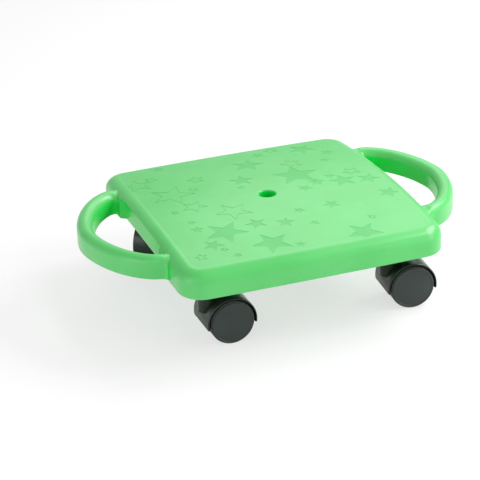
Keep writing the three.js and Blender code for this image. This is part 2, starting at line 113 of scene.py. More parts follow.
def seen_directly(tree, path):
    seen = number_node(tree, "MAXIMUM", path.outputs["Is Camera Ray"], path.outputs["Is Glossy Ray"])
    return number_node(tree, "MAXIMUM", seen, path.outputs["Is Transmission Ray"])


def white_light(tree, kind, strength):
    light = add_node(tree, kind)
    light.inputs["Color"].default_value = (1, 1, 1, 1)
    light.inputs["Strength"].default_value = strength
    return light.outputs[0]


def mix_shaders(tree, share, first, second):
    mix = add_node(tree, "ShaderNodeMixShader")
    for k, source in enumerate((share, first, second)):
        wire(tree, source, mix.inputs[k])
    return mix.outputs[0]


room_strength = 0.5
dimmed_reflection_share = 0.85
world = bpy.data.worlds.new("studio_world")
bpy.context.scene.world = world
sky = clear_tree(world)
sky_path = add_node(sky, "ShaderNodeLightPath")
dimmed = number_node(sky, "MULTIPLY", sky_path.outputs["Is Glossy Ray"], dimmed_reflection_share)
backdrop_share = number_node(sky, "SUBTRACT", seen_directly(sky, sky_path), dimmed)
room = white_light(sky, "ShaderNodeBackground", room_strength)
backdrop = white_light(sky, "ShaderNodeBackground", 1)
sky_out = add_node(sky, "ShaderNodeOutputWorld")
wire(sky, mix_shaders(sky, backdrop_share, room, backdrop), sky_out.inputs[0])

floor_half = 4
paper_grey = 0.96
paper_glow_share = 0.66
floor_mesh = bpy.data.meshes.new("studio_floor")
floor_mesh.from_pydata(
    [(-floor_half, -floor_half, 0), (floor_half, -floor_half, 0),
     (floor_half, floor_half, 0), (-floor_half, floor_half, 0)],
    [], [(0, 1, 2, 3)])
floor = add_object("studio_floor", floor_mesh)
paper = bpy.data.materials.new("studio_paper")
sheet = clear_tree(paper)
matte = add_node(sheet, "ShaderNodeBsdfDiffuse")
matte.inputs["Color"].default_value = (paper_grey, paper_grey, paper_grey, 1)
glow = white_light(sheet, "ShaderNodeEmission", 1)
paper_seen = seen_directly(sheet, add_node(sheet, "ShaderNodeLightPath"))
glow_share = number_node(sheet, "MULTIPLY", paper_seen, paper_glow_share)
paper_top = mix_shaders(sheet, glow_share, matte.outputs[0], glow)
paper_side = add_node(sheet, "ShaderNodeNewGeometry").outputs["Backfacing"]
paper_back = add_node(sheet, "ShaderNodeBsdfTransparent").outputs[0]
paper_out = add_node(sheet, "ShaderNodeOutputMaterial")
wire(sheet, mix_shaders(sheet, paper_side, paper_top, paper_back), paper_out.inputs[0])
floor_mesh.materials.append(paper)

board_middle = Vector((0, 0, 0.06))
softboxes = [
    ("key_softbox", (1.7, 0.35, 1.75), 0.85, 23.5),
    ("overhead_softbox", (0.85, -0.4, 0.95), 0.5, 6),
    ("fill_softbox", (-1.4, -1.9, 1.3), 1.4, 6),
    ("front_softbox", (0.85, -0.85, 0.4), 0.7, 3.2),
    ("back_softbox", (0.5, 0.8, 0.87), 0.75, 2.7),
    ("left_softbox", (-1.4, -0.5, 0.45), 0.8, 3.8),
]
for lamp_name, place, width, watts in softboxes:
    lamp = bpy.data.lights.new(lamp_name, "AREA")
    lamp.shape = "SQUARE"
    lamp.size = width
    lamp.energy = watts
    facing = (Vector(place) - board_middle).to_track_quat("Z", "Y").to_matrix().to_4x4()
    add_object(lamp_name, lamp).matrix_world = Matrix.Translation(place) @ facing

# Deck: one injection moulding in green polypropylene, a 300 mm board crowned front to back, with
# a panel set down inside a low rim and stars sunk a fifth of a millimetre into it by the mould.
# A loop handle is swept out of each side, and below are the ribs and pads that take the casters.
mm_in_metre = 1000
overrun = 1
deck_half_across = 150.0
deck_half_along = 152.5
deck_top = 104.4
skirt_bottom = 76.2
corner_radius = 25.0
smallest_corner = 1.5
bow_across = 2.9
bow_along = 2.2
crown_across = 0.34
crown_along = 8.2
skirt_crown_share = 0.8
top_round = 13.4
round_run_in = 1.2
skirt_round = 0.8
wall = 3.5
rim_width = 14.8
rim_step = 3.6
rim_step_lead = 1.2
panel_drop = 0.18
panel_run_in = 2.5
panel_ring_pitch = 8.2
panel_insets = np.arange(rim_width + panel_run_in, deck_half_across - 1, panel_ring_pitch)
corner_steps = 14
side_steps = 22
quarter_signs = [(1, 1), (-1, 1), (-1, -1), (1, -1)]


def quarter_turns(count):
    return np.linspace(0, math.pi / 2, count)


def eased(share):
    return share * share * (3 - 2 * share)


def crown_lift(x, y):
    across = 1 - np.minimum(1, (x / deck_half_across) ** 2)
    along = 1 - np.minimum(1, (y / deck_half_along) ** 2)
    return crown_across * across + crown_along * along


def deck_ring(inset, height, lift_share=1.0):
    half_x = deck_half_across - inset
    half_y = deck_half_along - inset
    radius = max(corner_radius - inset, smallest_corner)
    corners = []
    for quarter, (sx, sy) in enumerate(quarter_signs):
        turn = (quarter + np.linspace(0, 1, corner_steps + 1)) * math.pi / 2
        corners.append(np.stack([
            sx * (half_x - radius) + radius * np.cos(turn),
            sy * (half_y - radius) + radius * np.sin(turn),
        ], 1))
    plan = []
    for quarter, arc in enumerate(corners):
        plan.append(arc)
        far = corners[(quarter + 1) % 4][0]
        share = np.linspace(0, 1, side_steps + 1)[1:-1, None]
        plan.append(arc[-1] + (far - arc[-1]) * share)
    x, y = np.concatenate(plan).T
    across = bow_across * (x / half_x) * (1 - np.minimum(1, (y / half_y) ** 2))
    along = bow_along * (y / half_y) * (1 - np.minimum(1, (x / half_x) ** 2))
    return np.stack([x + across, y + along, height + lift_share * crown_lift(x, y)], 1)


def top_rings(offset, drop, steps):
    radius = top_round - offset
    rings = []
    for turn in quarter_turns(steps + 1):
        inset = top_round - radius * math.cos(turn)
        rings.append(deck_ring(inset, deck_top - top_round + radius * math.sin(turn)))
    if drop:
        for share in np.linspace(0, 1, 6):
            inset = rim_width - rim_step_lead + rim_step * share
            rings.append(deck_ring(inset, deck_top - offset - drop * eased(share)))
    for inset in panel_insets:
        rings.append(deck_ring(inset, deck_top - offset - drop))
    return rings


def mould(name, places, faces):
    mesh = bpy.data.meshes.new(name)
    mesh.from_pydata((np.asarray(places) / mm_in_metre).tolist(), [], faces)
    shape = bmesh.new()
    shape.from_mesh(mesh)
    bmesh.ops.recalc_face_normals(shape, faces=shape.faces)
    shape.to_mesh(mesh)
    shape.free()
    return add_object(name, mesh)


def skin_over(name, rings):
    count = len(rings[0])
    places = list(np.concatenate(rings))
    faces = []
    for k in range(len(rings) - 1):
        for j in range(count):
            p = k * count + j
            q = k * count + (j + 1) % count
            faces.append((p, q, q + count, p + count))
    for end in (0, len(rings) - 1):
        middle = len(places)
        places.append(np.mean(rings[end], axis=0))
        for j in range(count):
            p = end * count + j
            q = end * count + (j + 1) % count
            faces.append((middle, q, p) if end == 0 else (middle, p, q))
    return mould(name, places, faces)


def block(name, low, high):
    xs, ys, zs = zip(low, high)
    places = [(x, y, z) for z in zs for y in ys for x in xs]
    return mould(name, places, [
        (0, 2, 3, 1), (4, 5, 7, 6), (0, 1, 5, 4), (2, 6, 7, 3), (0, 4, 6, 2), (1, 3, 7, 5)])


def lathe(name, profile, sides):
    turn = np.linspace(0, 2 * math.pi, sides, endpoint=False)
    places = []
    faces = []
    starts = []
    for radius, height in profile:
        starts.append(len(places))
        if radius == 0:
            places.append((0, 0, height))
        else:
            places.extend(zip(radius * np.cos(turn), radius * np.sin(turn), np.full(sides, height)))
    for k in range(len(profile)):
        after = (k + 1) % len(profile)
        if profile[k][0] == 0 and profile[after][0] == 0:
            continue
        for j in range(sides):
            i = (j + 1) % sides
            a, b = starts[k], starts[after]
            if profile[k][0] == 0:
                faces.append((a, b + j, b + i))
            elif profile[after][0] == 0:
                faces.append((a + i, a + j, b))
            else:
                faces.append((a + j, b + j, b + i, a + i))
    return mould(name, places, faces)


def rod(name, radius, bottom, top, sides):
    return lathe(name, [(0, bottom), (radius, bottom), (radius, top), (0, top)], sides)


def drop_piece(piece):
    mesh = piece.data
    bpy.data.objects.remove(piece)
    bpy.data.meshes.remove(mesh)


def settle(piece, modifier):
    view = bpy.context.evaluated_depsgraph_get()
    result = bpy.data.meshes.new_from_object(piece.evaluated_get(view))
    piece.modifiers.remove(modifier)
    old = piece.data
    piece.data = result
    bpy.data.meshes.remove(old)


def combine(piece, tool, how, finish_from_tool=False):
    joint = piece.modifiers.new("combine", "BOOLEAN")
    joint.operation = how
    joint.solver = "MANIFOLD"
    joint.material_mode = "TRANSFER" if finish_from_tool else "INDEX"
    joint.object = tool
    settle(piece, joint)
    drop_piece(tool)


def copy_piece(piece, name, matrix):
    mesh = piece.data.copy()
    mesh.transform(matrix)
    return add_object(name, mesh)


def add_socket(tree, name, kind, way="INPUT"):
    return tree.interface.new_socket(name=name, in_out=way, socket_type=kind)


def stored_number(tree, name):
    stored = add_node(tree, "GeometryNodeInputNamedAttribute", data_type="FLOAT")
    stored.inputs["Name"].default_value = name
    return stored.outputs["Attribute"]


repeat_tree = bpy.data.node_groups.new("repeat_piece", "GeometryNodeTree")
add_socket(repeat_tree, "Places", "NodeSocketGeometry")
add_socket(repeat_tree, "Piece", "NodeSocketObject")
add_socket(repeat_tree, "Finish", "NodeSocketMaterial")
add_socket(repeat_tree, "Pieces", "NodeSocketGeometry", "OUTPUT")
repeat_in = add_node(repeat_tree, "NodeGroupInput")
repeat_info = add_node(repeat_tree, "GeometryNodeObjectInfo")
repeat_spread = add_node(repeat_tree, "GeometryNodeInstanceOnPoints")
repeat_real = add_node(repeat_tree, "GeometryNodeRealizeInstances")
repeat_finish = add_node(repeat_tree, "GeometryNodeSetMaterial")
repeat_out = add_node(repeat_tree, "NodeGroupOutput")
repeat_spin = add_node(repeat_tree, "ShaderNodeCombineXYZ")
repeat_size = add_node(repeat_tree, "ShaderNodeCombineXYZ")
repeat_size.inputs["Z"].default_value = 1
for source, socket in (
    (stored_number(repeat_tree, "turn"), repeat_spin.inputs["Z"]),
    (stored_number(repeat_tree, "size"), repeat_size.inputs["X"]),
    (stored_number(repeat_tree, "size"), repeat_size.inputs["Y"]),
    (repeat_in.outputs["Places"], repeat_spread.inputs["Points"]),
    (repeat_in.outputs["Piece"], repeat_info.inputs["Object"]),
    (repeat_info.outputs["Geometry"], repeat_spread.inputs["Instance"]),
    (repeat_spin.outputs[0], repeat_spread.inputs["Rotation"]),
    (repeat_size.outputs[0], repeat_spread.inputs["Scale"]),
    (repeat_spread.outputs[0], repeat_real.inputs[0]),
    (repeat_real.outputs[0], repeat_finish.inputs["Geometry"]),
    (repeat_in.outputs["Finish"], repeat_finish.inputs["Material"]),
    (repeat_finish.outputs[0], repeat_out.inputs[0]),
):
    wire(repeat_tree, source, socket)


def repeat_piece(name, piece, spots, finish, sizes=None):
    mesh = bpy.data.meshes.new(name)
    mesh.from_pydata((np.asarray([spot[:3] for spot in spots]) / mm_in_metre).tolist(), [], [])
    numbers = {"turn": [spot[3] for spot in spots], "size": sizes or [1] * len(spots)}
    for key, values in numbers.items():
        layer = mesh.attributes.new(key, "FLOAT", "POINT")
        layer.data.foreach_set("value", np.asarray(values, dtype=np.float32))
    holder = add_object(name, mesh)
    nodes = holder.modifiers.new("nodes", "NODES")
    nodes.node_group = repeat_tree
    for key, value in (("Piece", piece), ("Finish", finish)):
        nodes[repeat_tree.interface.items_tree[key].identifier] = value
    bpy.context.view_layer.update()
    settle(holder, nodes)
    drop_piece(piece)
    return holder


deck_green = bpy.data.materials.new("deck_green")
star_green = bpy.data.materials.new("star_green")

skirt_rings = []
for turn in quarter_turns(4):
    inset = skirt_round * (1 - math.sin(turn))
    height = skirt_bottom + skirt_round * (1 - math.cos(turn))
    skirt_rings.append(deck_ring(inset, height, skirt_crown_share))
skirt_rings.append(deck_ring(0, deck_top - top_round - round_run_in))
deck = skin_over("deck_moulding", skirt_rings + top_rings(0, panel_drop, 14))

# Loop handles: a thick band swept round each loop in the same shot of plastic, well rounded on
# top for the hand and hollow from below, with cross ribs in the channel. The roots flare out
# into the sides of the deck, so that they don't tear there.
handle_reach = 68.5
handle_span = 202.5
handle_thickness = 18.6
handle_height = 24.8
handle_top = deck_top + 3.0
handle_bottom = handle_top - handle_height
handle_top_round = 8.0
handle_inner_round = 10.5
handle_bottom_round = 0.8
handle_wall = 3.2
handle_flare = 9.0
handle_outer_flare = 4.0
handle_squareness = 1.69
root_dip_share = 0.12
handle_root = deck_half_across + bow_across
handle_across = deck_half_across + handle_reach - handle_thickness / 2 - handle_root
handle_along = (handle_span - handle_thickness) / 2
handle_steps = 18
smooth_parts = 3


def handle_centre(share):
    turn = share * math.pi / 2
    power = 2 / handle_squareness
    return np.array([
        handle_root + handle_across * abs(math.cos(turn)) ** power,
        handle_along * math.copysign(abs(math.sin(turn)) ** power, turn),
    ])


def handle_station(share):
    run = handle_centre(min(share + 1e-3, 1)) - handle_centre(max(share - 1e-3, -1))
    run /= np.linalg.norm(run)
    centre = handle_centre(share)
    return centre, np.array([run[1], -run[0]]), centre[0] - handle_root


def end_share(flare_share):
    part = flare_share * handle_flare / handle_across
    return 1 - math.asin(part ** (handle_squareness / 2)) * 2 / math.pi


def handle_stations(first_shares):
    ends = [end_share(part) for part in first_shares]
    middle = [ends[-1] * (2 * k / handle_steps - 1) for k in range(1, handle_steps)]
    return [handle_station(share) for share in [-end for end in ends] + middle + ends[::-1]]


def fillet_width(radius, clear):
    if clear >= radius:
        return 0.0
    return radius - math.sqrt(radius ** 2 - (radius - max(clear, 0)) ** 2)


def rounding(x, z, side, up, radius, turns):
    return [(x - side * radius * (1 - math.cos(turn)), z - up * radius * (1 - math.sin(turn)))
            for turn in turns]


def stand_on(centre, out, profile):
    return np.array([(*(centre + out * side), z) for side, z in profile])


def band_section(centre, out, clear):
    inner_flare = fillet_width(handle_flare, clear)
    inner_round = handle_inner_round + inner_flare
    outer_round = handle_top_round + fillet_width(handle_outer_flare, clear)
    inner = handle_inner_round - handle_thickness / 2 - inner_round
    outer = handle_thickness / 2 - handle_top_round + outer_round
    top = handle_top - root_dip_share * inner_flare
    turns = quarter_turns(10)
    low_turns = quarter_turns(4)
    return stand_on(centre, out, [
        *rounding(outer, handle_bottom, 1, -1, handle_bottom_round, low_turns[::-1]),
        *rounding(outer, top, 1, 1, outer_round, turns),
        *rounding(inner, top, -1, 1, inner_round, turns[::-1]),
        *rounding(inner, handle_bottom, -1, -1, handle_bottom_round, low_turns),
    ])


def channel_section(centre, out, clear):
    half = handle_thickness / 2 - handle_wall
    roof = handle_top - handle_wall
    radius = handle_top_round - handle_wall
    turns = quarter_turns(6)
    return stand_on(centre, out, [
        (-half, handle_bottom - overrun),
        (half, handle_bottom - overrun),
        *rounding(half, roof, 1, 1, radius, turns),
        *rounding(-half, roof, -1, 1, radius, turns[::-1]),
    ])


def smooth_sections(sections):
    shape = np.array(sections)
    middle = shape.mean(axis=1)
    gaps = np.linalg.norm(np.diff(middle, axis=0), axis=1)
    slopes = np.diff(shape, axis=0) / gaps[:, None, None]
    lean = np.empty_like(shape)
    before = gaps[:-1, None, None]
    after = gaps[1:, None, None]
    lean[1:-1] = (slopes[:-1] * after + slopes[1:] * before) / (before + after)
    lean[0] = slopes[0]
    lean[-1] = slopes[-1]
    result = []
    for k, gap in enumerate(gaps):
        for t in np.arange(smooth_parts) / smooth_parts:
            result.append(
                (2 * t ** 3 - 3 * t ** 2 + 1) * shape[k]
                + (t ** 3 - 2 * t ** 2 + t) * gap * lean[k]
                + (3 * t ** 2 - 2 * t ** 3) * shape[k + 1]
                + (t ** 3 - t ** 2) * gap * lean[k + 1])
    return result + [shape[-1]]


band = smooth_sections([band_section(*station) for station in handle_stations([0, 0.12, 0.4, 1])])
inward = np.array([top_round, 0, 0])
handle = skin_over("handle", [band[0] - inward] + band + [band[-1] - inward])
channel = smooth_sections([channel_section(*station) for station in handle_stations([0.2, 0.5, 1])])
combine(handle, skin_over("channel", channel), "DIFFERENCE")

channel_rib_half = 6.7
channel_rib_top_half = 4
channel_rib_chamfer = 3.7
channel_rib_thickness = 2.5
channel_rib_inset = 1.2
channel_rib_rise = handle_height - handle_wall - 0.9
channel_rib_outline = [
    (-channel_rib_half, 0), (channel_rib_half, 0),
    (channel_rib_half, channel_rib_rise - channel_rib_chamfer),
    (channel_rib_top_half, channel_rib_rise), (-channel_rib_top_half, channel_rib_rise),
    (-channel_rib_half, channel_rib_rise - channel_rib_chamfer)]
channel_rib = skin_over("channel_rib", [
    np.array([(x, side * channel_rib_thickness / 2, z) for x, z in channel_rib_outline])
    for side in (-1, 1)])
channel_rib_spots = []
for share in (-2 / 3, -1 / 3, 0, 1 / 3, 2 / 3):
    centre, out, clear = handle_station(share)
    channel_rib_spots.append((*centre, handle_bottom + channel_rib_inset, math.atan2(out[1], out[0])))
combine(handle, repeat_piece("channel_ribs", channel_rib, channel_rib_spots, deck_green), "UNION")
half_turn = Matrix.Rotation(math.pi, 4, "Z")
combine(deck, copy_piece(handle, "far_handle", half_turn), "UNION")
combine(deck, handle, "UNION")

# Side ledges: between the handle roots the skirt is set back under a thin lip of the rim, so that
# fingers have room in the loop. The inside of the deck is hollowed out to an even wall that
# follows the set back.
ledge_depth = 6.7
ledge_end_gap = 1.5
ledge_half = handle_span / 2 - handle_thickness - handle_flare - ledge_end_gap
ledge_stations = 49
ledge_runout_share = 0.08
ledge_least_share = 0.03
lip_height = 3.6
lip_inset = 2.9
lip_round = [(0.45, 1), (1.3, 1.7)]


def ledge_space(name, extra, top):
    sections = []
    for y in ledge_half * np.sin(np.linspace(-math.pi / 2, math.pi / 2, ledge_stations)):
        runout = min(1, (ledge_half - abs(y)) / (ledge_runout_share * ledge_half))
        depth_share = ledge_least_share + (1 - ledge_least_share) * eased(runout)
        face = (deck_half_across + bow_across * (1 - (y / deck_half_along) ** 2)
                - (ledge_depth * depth_share + extra))
        beyond = deck_half_across + bow_across + overrun
        roof = top + crown_lift(deck_half_across, y)
        low = skirt_bottom - overrun
        lip = deck_half_across + bow_across - lip_inset
        outline = [(face, low), (beyond, low), (beyond, roof), (lip, roof)]
        outline += [(max(face, lip - back), roof - down) for back, down in lip_round]
        outline.append((face, roof - lip_round[-1][1]))
        sections.append(np.array([(x, y, z) for x, z in outline]))
    return skin_over(name, sections)


cavity = skin_over("cavity", [deck_ring(wall, skirt_bottom - overrun, 0)] + top_rings(wall, 0, 6))
behind = ledge_space("behind", wall, deck_top)
combine(cavity, copy_piece(behind, "far_behind", half_turn), "DIFFERENCE")
combine(cavity, behind, "DIFFERENCE")
combine(deck, cavity, "DIFFERENCE")

# Ribs and pads: a waffle of thin ribs stiffens the top from below, with a tube round the rope
# hole. Four square pads reach down to the casters, each with a cross, a boss for every plate
# screw and a well for the rivet head of the king pin.
caster_across = 106.8
caster_along = 95.6
caster_spots = {
    "front_left": (-caster_across, -caster_along),
    "front_right": (caster_across, -caster_along),
    "back_left": (-caster_across, caster_along),
    "back_right": (caster_across, caster_along),
}
rib_thickness = 2.5
half_rib = rib_thickness / 2
rib_bottom = skirt_bottom + 3
above = deck_top + crown_along + overrun
rib_lines_across = [-126.8, -86.8, -43.5, 0, 43.5, 86.8, 126.8]
rib_lines_along = [-115.6, -75.6, 0, 75.6, 115.6]
long_rib = block("long_rib", (-half_rib, -deck_half_along, 0),
                 (half_rib, deck_half_along, above - rib_bottom))
cross_rib = block("cross_rib", (-deck_half_across, -half_rib, 0),
                  (deck_half_across, half_rib, above - rib_bottom))
long_spots = [(x, 0, rib_bottom, 0) for x in rib_lines_across]
cross_spots = [(0, y, rib_bottom, 0) for y in rib_lines_along]
under = repeat_piece("ribs_along", long_rib, long_spots, deck_green)
combine(under, repeat_piece("ribs_across", cross_rib, cross_spots, deck_green), "UNION")
hole_tube_radius = 12.5
combine(under, rod("hole_tube", hole_tube_radius, rib_bottom, above, 48), "UNION")
below_reach = 2
below_insets = np.arange(10, deck_half_across - 1, 14)
below_rings = [deck_ring(-below_reach, 0, 0), deck_ring(-below_reach, rib_bottom, skirt_crown_share)]
below_rings += [deck_ring(inset, rib_bottom, skirt_crown_share) for inset in below_insets]
combine(under, skin_over("below_ribs", below_rings), "DIFFERENCE")

pad_half = 20.0
pad_wall = 3.3
pad_face = 62.8
pad_outer = pad_half + pad_wall / 2
pad_inner = pad_half - pad_wall / 2
screw_pitch = 15.0
boss_radius = 5.6
screw_room_radius = 2.7
screw_room_top = 79.3
pin_well_radius = 8.5
pin_well_depth = 4.7
pad = block("pad", (-pad_outer, -pad_outer, pad_face), (pad_outer, pad_outer, above))
pad_room = block("pad_room", (-pad_inner, -pad_inner, 0), (pad_inner, pad_inner, above + overrun))
combine(pad, pad_room, "DIFFERENCE")
pad_cross = block("pad_cross", (-pad_half, -half_rib, pad_face), (pad_half, half_rib, above))
pad_bar = block("pad_bar", (-half_rib, -pad_half, pad_face), (half_rib, pad_half, above))
combine(pad_cross, pad_bar, "UNION")
combine(pad, pad_cross, "UNION")
corner_spots = [(sx * screw_pitch, sy * screw_pitch, 0, 0) for sx in (-1, 1) for sy in (-1, 1)]
boss = rod("boss", boss_radius, pad_face, above, 32)
combine(pad, repeat_piece("bosses", boss, corner_spots, deck_green), "UNION")
combine(pad, rod("pin_well", pin_well_radius, 0, pad_face + pin_well_depth, 40), "DIFFERENCE")
screw_room = rod("screw_room", screw_room_radius, pad_face - overrun, screw_room_top, 24)
combine(pad, repeat_piece("screw_rooms", screw_room, corner_spots, deck_green), "DIFFERENCE")
pad_spots = [(x, y, 0, 0) for x, y in caster_spots.values()]
combine(under, repeat_piece("pads", pad, pad_spots, deck_green), "UNION")
inside_skin = skin_over("inside_skin", [deck_ring(wall / 2, 0, 0)] + top_rings(wall / 2, 0, 6))
combine(under, inside_skin, "INTERSECT")
combine(deck, under, "UNION")
ledge = ledge_space("ledge", 0, deck_top - lip_height)
combine(deck, copy_piece(ledge, "far_ledge", half_turn), "DIFFERENCE")
combine(deck, ledge, "DIFFERENCE")

# Rope hole: a plain round hole through the middle of the board and its tube, for a pull rope,
# with its upper edge rounded.
hole_radius = 9.5
hole_round = 1.6
hole_low = rib_bottom - 8
hole_top = deck_top - panel_drop + crown_lift(0, 0)
hole_profile = [
    (0, hole_low), (hole_radius, hole_low),
    *rounding(hole_radius, hole_top, -1, 1, hole_round, quarter_turns(7)),
    (hole_radius + hole_round, hole_top + 2), (0, hole_top + 2)]
combine(deck, lathe("rope_hole", hole_profile, 64), "DIFFERENCE")

# Stars: a loose scatter of five-pointed stars in many sizes, sunk into the panel by the mould.
# Two in three are sunk whole, and the others only as a thin outline.
star_depth = 0.18
star_line = 0.7
star_waist = 0.42
star_edge = star_waist * math.sin(math.pi / 5) / math.hypot(
    1 - star_waist * math.cos(math.pi / 5), star_waist * math.sin(math.pi / 5))
star_low = 98
star_high = 118
star_radii = [29, 27, 25, 23, 22, 21, 20, 19, 18, 17, 16, 15, 14, 14, 13, 13, 12, 12, 11, 11, 10, 10, 10,
              9, 9, 9, 8, 8, 8, 8, 7, 7, 7, 6, 6, 6, 6, 5, 5, 5, 5, 5]
star_field_across = 128
star_field_along = 132
star_spacing_share = 0.8
star_hole_gap = 14
star_tries = 3000
draw = np.random.default_rng(23)
stars = []
for radius in star_radii:
    for attempt in range(star_tries):
        x = draw.uniform(-star_field_across, star_field_across)
        y = draw.uniform(-star_field_along, star_field_along)
        if math.hypot(x, y) < star_spacing_share * radius + star_hole_gap:
            continue
        if all(math.hypot(x - u, y - v) > star_spacing_share * (radius + other)
               for u, v, other, turn in stars):
            stars.append((x, y, radius, draw.uniform(0, 2 * math.pi / 5)))
            break


def star_prisms(name, chosen, shrink, low, high):
    ring = []
    for k in range(10):
        reach = star_waist if k % 2 else 1.0
        turn = k * math.pi / 5
        ring.append((reach * math.cos(turn), reach * math.sin(turn)))
    rings = [np.array([(x, y, z) for x, y in ring]) for z in (low, high)]
    spots = [(x, y, 0, turn) for x, y, radius, turn in chosen]
    sizes = [radius - shrink for x, y, radius, turn in chosen]
    return repeat_piece(name, skin_over("star", rings), spots, star_green, sizes)


filled = [star for k, star in enumerate(stars) if k % 3 != 1]
outlined = [star for k, star in enumerate(stars) if k % 3 == 1]
star_cut = star_prisms("outlined_stars", outlined, 0, star_low, star_high)
star_middles = star_prisms("star_middles", outlined, star_line / star_edge,
                           star_low - overrun, star_high + overrun)
combine(star_cut, star_middles, "DIFFERENCE")
combine(star_cut, star_prisms("filled_stars", filled, 0, star_low, star_high), "UNION")
star_floor = deck_top - panel_drop - star_depth
star_limit = rim_width + 1.2
floor_rings = [deck_ring(inset, star_floor) for inset in panel_insets[::-1]]
edge_rings = [deck_ring(star_limit, star_floor), deck_ring(star_limit, star_high - overrun, 0)]
combine(star_cut, skin_over("star_layer", floor_rings + edge_rings), "INTERSECT")
star_cut.data.materials.clear()
star_cut.data.materials.append(star_green)
deck.data.materials.clear()
deck.data.materials.append(deck_green)
combine(deck, star_cut, "DIFFERENCE", True)

# Deck finish: green polypropylene, semi-gloss, with the fine grain of the mould on it, faint
# cloudiness in the pigment, patches of dust and light rub marks where hands and shoes go.
# In the hollows, inside the handles and under the deck, a deeper green is painted in as shade.
grain_height = 0.0002
broad_grain_scale = 90.0
broad_grain_share = 0.8
pigment_scale = 22.0
nook_reach = 0.08
painted_shade_dark_share = 0.4
coat_weight = 0.35
coat_roughness = 0.3
grain_roughness = 0.08
dust_roughness = 0.35
rub_roughness = 0.25


def shader_group(name, inputs, outputs):
    tree = bpy.data.node_groups.new(name, "ShaderNodeTree")
    for key, value in inputs.items():
        add_socket(tree, key, "NodeSocketFloat").default_value = value
    for key, kind in outputs.items():
        add_socket(tree, key, kind, "OUTPUT")
    return tree, add_node(tree, "NodeGroupInput"), add_node(tree, "NodeGroupOutput")


def noise_node(tree, place, scale, detail=3.0, stretch=None):
    node = add_node(tree, "ShaderNodeTexNoise")
    node.inputs["Detail"].default_value = detail
    if stretch:
        mapping = add_node(tree, "ShaderNodeMapping")
        mapping.inputs["Scale"].default_value = stretch
        wire(tree, place, mapping.inputs["Vector"])
        place = mapping.outputs[0]
    wire(tree, place, node.inputs["Vector"])
    if isinstance(scale, bpy.types.NodeSocket):
        wire(tree, scale, node.inputs["Scale"])
    else:
        node.inputs["Scale"].default_value = scale
    return node.outputs["Fac"]


def between(tree, value, low, high):
    node = add_node(tree, "ShaderNodeMapRange", interpolation_type="SMOOTHSTEP")
    node.inputs["From Min"].default_value = low
    node.inputs["From Max"].default_value = high
    wire(tree, value, node.inputs["Value"])
    return node.outputs["Result"]


grain_tree, grain_in, grain_out = shader_group(
    "mould_grain", {"Scale": 1400.0, "Depth": 0.1},
    {"Normal": "NodeSocketVector", "Grain": "NodeSocketFloat"})
grain_place = add_node(grain_tree, "ShaderNodeTexCoord").outputs["Object"]
fine = noise_node(grain_tree, grain_place, grain_in.outputs["Scale"], detail=2.0)
broad = noise_node(grain_tree, grain_place, broad_grain_scale, detail=1.0)
relief = number_node(
    grain_tree, "ADD", fine, number_node(grain_tree, "MULTIPLY", broad, broad_grain_share))
dent = add_node(grain_tree, "ShaderNodeBump")
dent.inputs["Distance"].default_value = grain_height
wire(grain_tree, grain_in.outputs["Depth"], dent.inputs["Strength"])
wire(grain_tree, relief, dent.inputs["Height"])
wire(grain_tree, dent.outputs[0], grain_out.inputs["Normal"])
wire(grain_tree, fine, grain_out.inputs["Grain"])

marks_tree, marks_in, marks_out = shader_group(
    "handling_marks", {"Dust": 0.3, "Rub": 0.3}, {"Dust": "NodeSocketFloat", "Rub": "NodeSocketFloat"})
marks_place = add_node(marks_tree, "ShaderNodeTexCoord").outputs["Object"]
clouds = between(marks_tree, noise_node(marks_tree, marks_place, 16.0, detail=4.0), 0.45, 0.75)
specks = between(marks_tree, noise_node(marks_tree, marks_place, 520.0, detail=2.0), 0.56, 0.7)
dusty = number_node(marks_tree, "MULTIPLY", clouds, number_node(marks_tree, "ADD", specks, 0.35))
scratches = noise_node(marks_tree, marks_place, 46.0, stretch=(1, 14, 3))
patches = between(marks_tree, noise_node(marks_tree, marks_place, 9.0, detail=2.0), 0.5, 0.68)
rubbed = number_node(marks_tree, "MULTIPLY", between(marks_tree, scratches, 0.63, 0.7), patches)
for key, mark in (("Dust", dusty), ("Rub", rubbed)):
    wire(marks_tree, number_node(marks_tree, "MULTIPLY", mark, marks_in.outputs[key], clamp=True),
         marks_out.inputs[key])


def use_group(tree, group, **values):
    node = add_node(tree, "ShaderNodeGroup", node_tree=group)
    for key, value in values.items():
        node.inputs[key].default_value = value
    return node


def blend(tree, share, first, second):
    node = add_node(tree, "ShaderNodeMix", data_type="RGBA")
    wire(tree, share, node.inputs["Factor"])
    for key, value in (("A", first), ("B", second)):
        socket = [s for s in node.inputs if s.name == key and s.type == "RGBA"][0]
        if isinstance(value, bpy.types.NodeSocket):
            wire(tree, value, socket)
        else:
            socket.default_value = (*value, 1)
    return [s for s in node.outputs if s.type == "RGBA"][0]


def close_surface(tree, surface, colour, rough, normal):
    for key, source in (("Base Color", colour), ("Roughness", rough), ("Normal", normal)):
        wire(tree, source, surface.inputs[key])
    out = add_node(tree, "ShaderNodeOutputMaterial")
    wire(tree, surface.outputs[0], out.inputs["Surface"])


